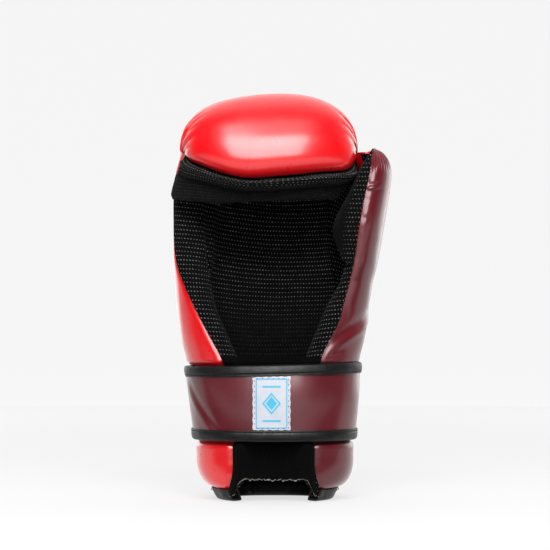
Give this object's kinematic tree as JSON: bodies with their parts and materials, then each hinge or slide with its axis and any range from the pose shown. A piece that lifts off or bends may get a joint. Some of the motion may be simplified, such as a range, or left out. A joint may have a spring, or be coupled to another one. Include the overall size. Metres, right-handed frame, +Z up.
{
  "type": "point fighting glove",
  "caption": "Padded open-palm sparring glove for the right hand, with finger hood, thumb pocket and wrapped wrist strap, standing on its cuff.",
  "frame": {"origin": "under the middle of the glove's box, on the surface that the cuff stands on", "axes": "+Z up from the cuff to the finger hood, -Y out of the open palm, +X towards the thumb"},
  "size_m": [0.153, 0.1054, 0.2781],
  "materials": {
    "red_leather": "smooth bright red artificial leather with a soft sheen",
    "maroon_leather": "smooth dark red artificial leather with a soft sheen",
    "black_mesh": "black knitted spacer mesh with small light dots in staggered rows",
    "black_elastic": "black woven elastic",
    "black_binding": "satin black artificial leather tape with dashed black stitching",
    "label_cloth": "white woven satin label with a light blue border line"
  },
  "bodies": {
    "root": {"hand_shell": "red_leather", "thumb_pad": "maroon_leather", "thumb_web": "red_leather", "hand_lining": "black_mesh", "thumb_lining": "black_mesh", "finger_band": "black_mesh", "thumb_sleeve": "black_mesh", "wrist_elastic": "black_elastic", "wrist_strap": "maroon_leather", "strap_binding_top": "black_binding", "strap_binding_bottom": "black_binding", "label": "label_cloth", "cuff_binding": "black_binding"}
  },
  "joints": []
}
